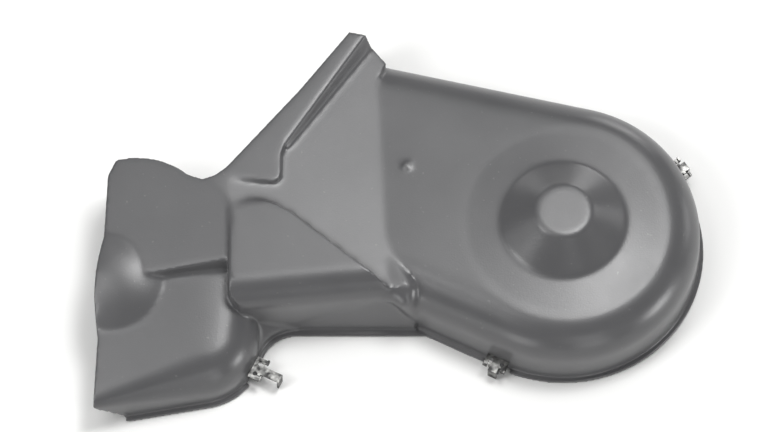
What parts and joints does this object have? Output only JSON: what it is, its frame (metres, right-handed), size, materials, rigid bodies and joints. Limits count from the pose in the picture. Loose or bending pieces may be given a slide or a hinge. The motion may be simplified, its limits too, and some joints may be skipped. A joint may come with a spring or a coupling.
{
  "type": "timing belt cover",
  "caption": "Moulded plastic timing belt cover with a round sprocket housing, a raised hub, a sloping horn, a stepped side housing open at its end, and spring clips at the rim.",
  "frame": {"origin": "middle of the box in plan, on the plane of the open rim", "axes": "+X towards the round sprocket end, +Y towards the horn, +Z away from the engine, up from the rim plane"},
  "size_m": [0.3324, 0.2146, 0.058],
  "materials": {
    "cover_plastic": "fine moulded grain",
    "clip_steel": "dull spring steel"
  },
  "bodies": {
    "root": {"moulded_cover": "cover_plastic", "rim_clip_right": "clip_steel", "rim_clip_lower": "clip_steel", "rim_clip_left": "clip_steel"}
  },
  "joints": []
}
